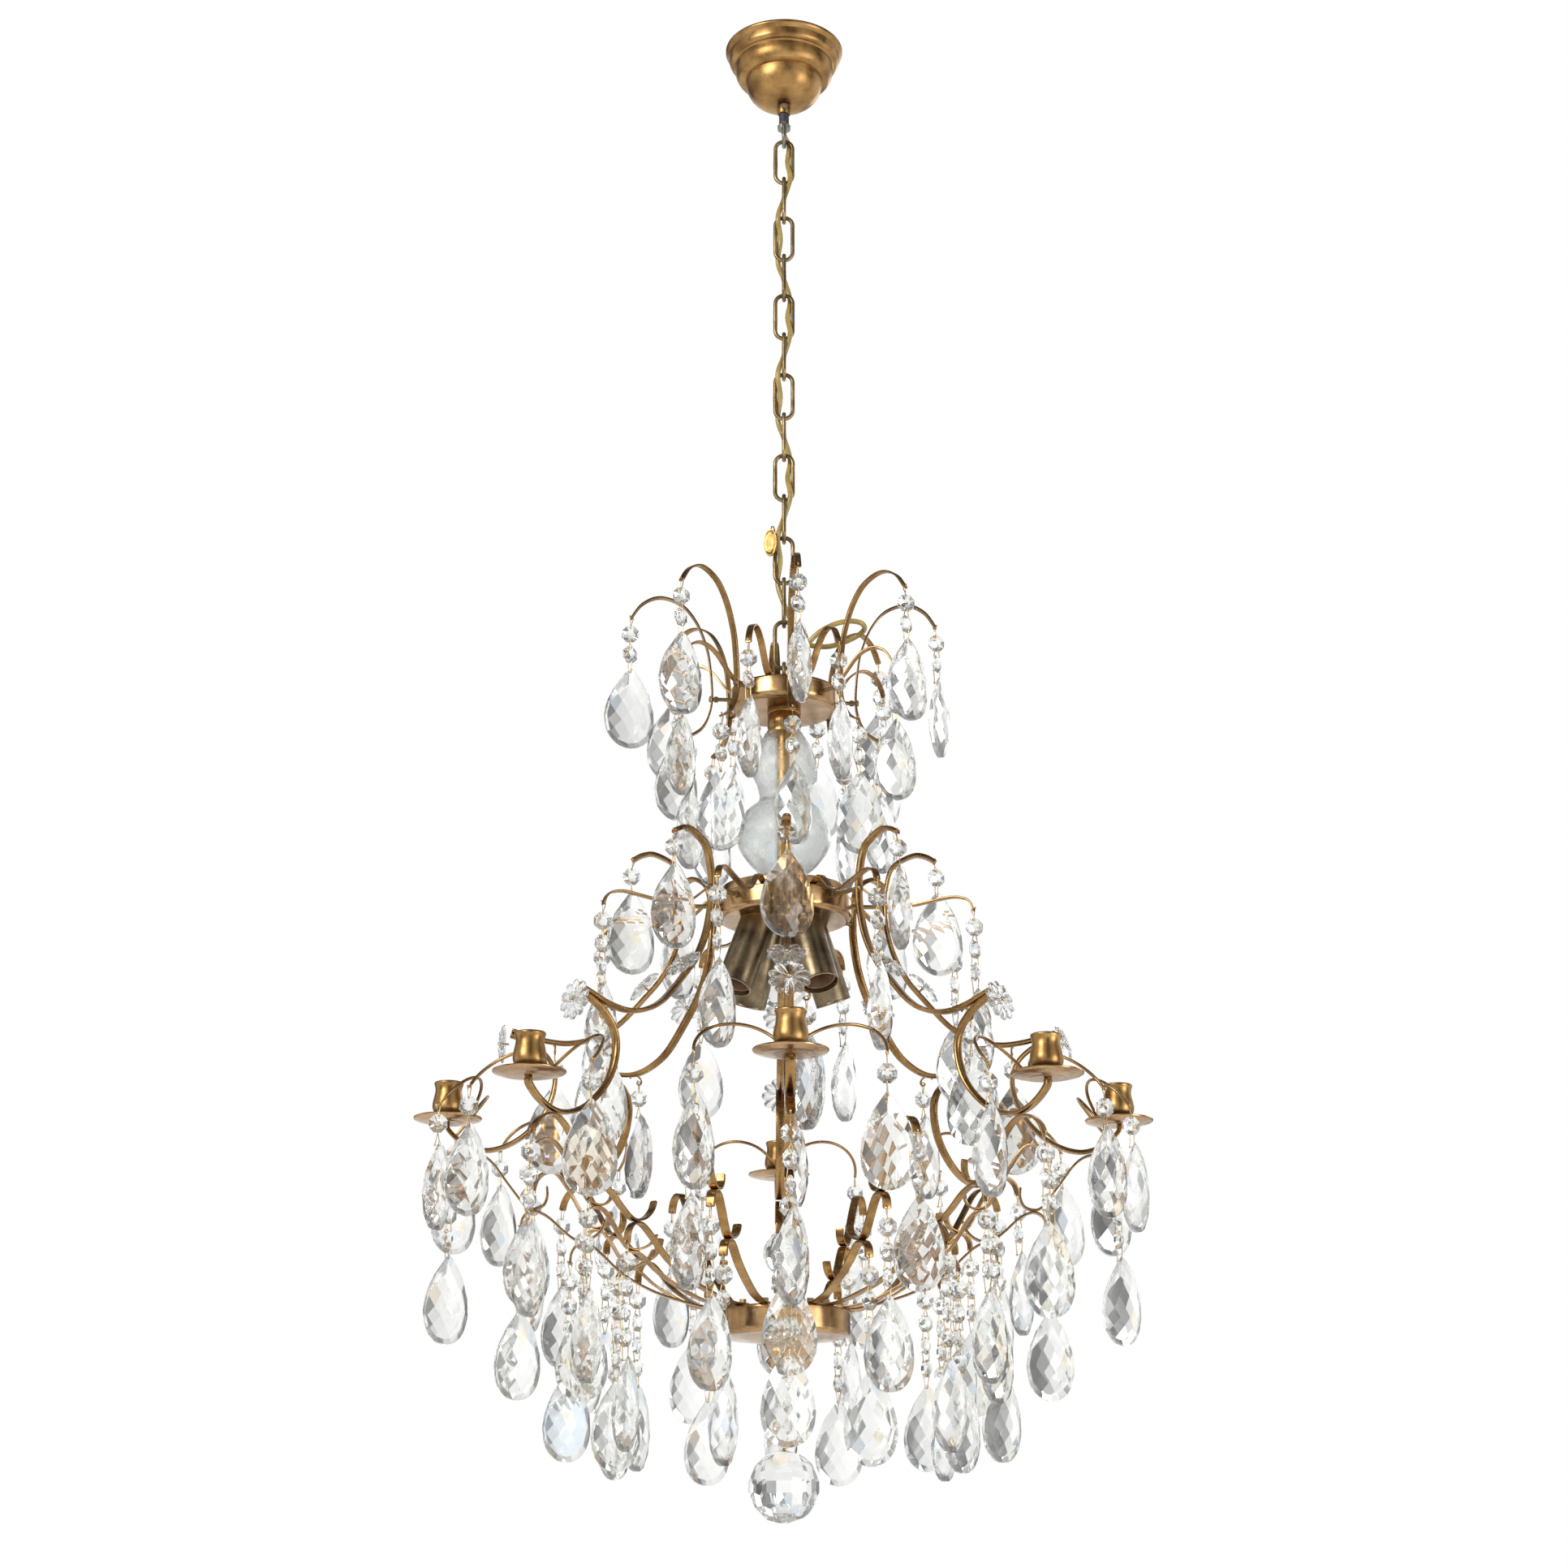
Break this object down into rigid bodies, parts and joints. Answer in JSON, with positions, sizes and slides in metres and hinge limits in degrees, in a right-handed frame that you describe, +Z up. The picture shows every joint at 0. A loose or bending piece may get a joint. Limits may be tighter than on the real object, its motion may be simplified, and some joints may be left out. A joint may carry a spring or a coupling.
{
  "type": "multi arm chandelier",
  "caption": "Hanging brass chandelier with curved candle arms, tiers of bent strips hung with cut-glass almond drops, down-facing lamp sockets, a chain and a stepped canopy.",
  "frame": {"origin": "centre of the canopy's rim, in the plane of the ceiling", "axes": "+Z up along the chain and stem, -Y towards the front arm, +X to the right seen from the front"},
  "size_m": [0.6608, 0.6608, 1.443],
  "materials": {
    "aged_brass": "satin, aged, with darker recesses",
    "gold_brass": "satin, lacquered",
    "dark_brass": "antique, dark",
    "steel": "dull",
    "black_plastic": "matt",
    "ivory_plastic": "moulded",
    "bronze": "brushed antique",
    "socket_liner": "phenolic",
    "flex_pvc": "translucent golden",
    "crystal": "cut and polished",
    "blown_glass": "slightly cloudy",
    "pressed_glass": "pressed, clear"
  },
  "bodies": {
    "hanger": {"hook_eye": "steel", "hanger_tube": "steel", "terminal_block": "ivory_plastic", "hanger_sleeve": "black_plastic", "hanger_loop": "steel", "cord_hanger": "flex_pvc"},
    "canopy": {"canopy": "gold_brass", "canopy_collar": "gold_brass", "collar_screw": "steel"},
    "chain": {"chain_links": "dark_brass", "seal_tag": "gold_brass", "cord_chain": "flex_pvc"},
    "frame": {"crown_eye": "dark_brass", "crown_dish": "aged_brass", "crown_screws": "dark_brass", "crown_ribs": "aged_brass", "crown_strips": "aged_brass", "crown_collar": "aged_brass", "stem_tube": "aged_brass", "glass_baluster": "blown_glass", "cord_frame": "flex_pvc", "drum_body": "aged_brass", "drum_lid": "aged_brass", "drum_spokes": "dark_brass", "main_ribs": "aged_brass", "mid_strips": "aged_brass", "socket_sleeves": "bronze", "socket_liners": "socket_liner", "lamp_terminal": "ivory_plastic", "candle_arms": "aged_brass", "drip_pans": "aged_brass", "candle_cups": "gold_brass", "cup_screws": "dark_brass", "pan_horns": "aged_brass", "rosettes": "pressed_glass", "basket_ribs_top": "aged_brass", "basket_ribs_mid": "aged_brass", "basket_ribs_low": "aged_brass", "inner_ribs_top": "aged_brass", "inner_ribs_mid": "aged_brass", "inner_ribs_low": "aged_brass", "bottom_dish": "aged_brass", "dish_nuts": "dark_brass", "glass_finial": "pressed_glass", "dish_post": "aged_brass", "crown_pendants": "crystal", "middle_pendants": "crystal", "horn_pendants": "crystal", "basket_pendants": "crystal", "inner_pendants": "crystal", "bead_strings": "crystal"},
    "pendant_1": {"arm_pendant_1": "crystal"},
    "pendant_2": {"arm_pendant_2": "crystal"},
    "pendant_3": {"arm_pendant_3": "crystal"},
    "pendant_4": {"arm_pendant_4": "crystal"},
    "pendant_5": {"arm_pendant_5": "crystal"},
    "pendant_6": {"arm_pendant_6": "crystal"},
    "pendant_7": {"arm_pendant_7": "crystal"},
    "pendant_8": {"arm_pendant_8": "crystal"},
    "ball": {"crystal_ball": "crystal"}
  },
  "joints": [
    {"name": "canopy_slide", "type": "slide", "parent": "hanger", "child": "canopy", "axis": [0, 0, -1], "range_m": [0, 0.0115]},
    {"name": "chain_swing", "type": "hinge", "parent": "hanger", "child": "chain", "pos_m": [0, 0, -0.108], "axis": [0, 1, 0], "range_deg": [-12, 12], "deforming": ["cord_chain"]},
    {"name": "frame_swing", "type": "hinge", "parent": "chain", "child": "frame", "pos_m": [0, 0, -0.6653], "axis": [1, 0, 0], "range_deg": [-12, 12], "deforming": ["cord_frame"]},
    {"name": "pendant_1_swing", "type": "hinge", "parent": "frame", "child": "pendant_1", "pos_m": [0.01861, -0.20671, -1.03], "axis": [0.9998, 0.0175, 0], "range_deg": [-12, 12]},
    {"name": "pendant_2_swing", "type": "hinge", "parent": "frame", "child": "pendant_2", "pos_m": [0.15932, -0.133, -1.03], "axis": [0.6947, 0.7193, 0], "range_deg": [-12, 12]},
    {"name": "pendant_3_swing", "type": "hinge", "parent": "frame", "child": "pendant_3", "pos_m": [0.20671, 0.01861, -1.03], "axis": [-0.0175, 0.9998, 0], "range_deg": [-12, 12]},
    {"name": "pendant_4_swing", "type": "hinge", "parent": "frame", "child": "pendant_4", "pos_m": [0.133, 0.15932, -1.03], "axis": [-0.7193, 0.6947, 0], "range_deg": [-12, 12]},
    {"name": "pendant_5_swing", "type": "hinge", "parent": "frame", "child": "pendant_5", "pos_m": [0.01138, 0.20723, -1.03], "axis": [-0.9998, -0.0175, 0], "range_deg": [-12, 12]},
    {"name": "pendant_6_swing", "type": "hinge", "parent": "frame", "child": "pendant_6", "pos_m": [-0.13848, 0.15458, -1.03], "axis": [-0.6947, -0.7193, 0], "range_deg": [-12, 12]},
    {"name": "pendant_7_swing", "type": "hinge", "parent": "frame", "child": "pendant_7", "pos_m": [-0.20723, 0.01138, -1.03], "axis": [0.0175, -0.9998, 0], "range_deg": [-12, 12]},
    {"name": "pendant_8_swing", "type": "hinge", "parent": "frame", "child": "pendant_8", "pos_m": [-0.15458, -0.13848, -1.03], "axis": [0.7193, -0.6947, 0], "range_deg": [-12, 12]},
    {"name": "ball_swing", "type": "hinge", "parent": "frame", "child": "ball", "pos_m": [0, 0, -1.306], "axis": [1, 0, 0], "range_deg": [-12, 12]}
  ]
}
